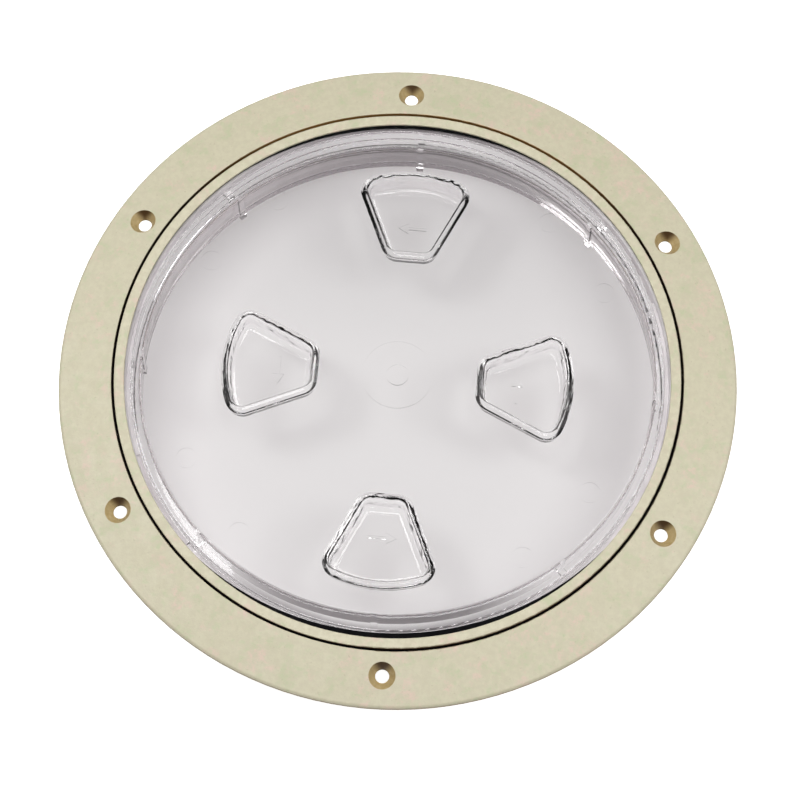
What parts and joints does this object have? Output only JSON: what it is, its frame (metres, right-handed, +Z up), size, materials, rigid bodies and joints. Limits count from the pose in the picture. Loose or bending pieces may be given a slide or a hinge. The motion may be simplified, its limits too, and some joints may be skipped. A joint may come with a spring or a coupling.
{
  "type": "deck hatch",
  "caption": "Round screw-out deck hatch: sloping screwed-down flange with a threaded collar, and a threaded lid with a clear centre and finger pockets.",
  "frame": {"origin": "centre of the screw-hole circle on the flange's underside, which lies on the deck", "axes": "+Z up out of the deck along the lid's screw axis; +Y through two of the finger pockets"},
  "size_m": [0.26, 0.26, 0.03],
  "materials": {
    "frame_plastic": "fine matte moulded grain, beige",
    "rim_plastic": "fine matte moulded grain, beige",
    "clear_plastic": "clear polished moulded plastic",
    "seal_rubber": "black rubber, slight sheen"
  },
  "bodies": {
    "frame": {"deck_frame": "frame_plastic"},
    "seal": {"lid_seal": "seal_rubber"},
    "lid": {"lid_rim": "rim_plastic", "window_seal": "seal_rubber", "clear_center": "clear_plastic"}
  },
  "joints": [
    {"name": "lid_lift", "type": "slide", "parent": "frame", "child": "seal", "axis": [0, 0, 1], "range_m": [0, 0.0242]},
    {"name": "lid_turn", "type": "hinge", "parent": "seal", "child": "lid", "pos_m": [0, 0, 0], "axis": [0, 0, 1], "range_deg": [0, 1080]}
  ],
  "couplings": [
    {"joint": "lid_lift", "follows": "lid_turn", "m_per_rad": 0.0012732}
  ]
}
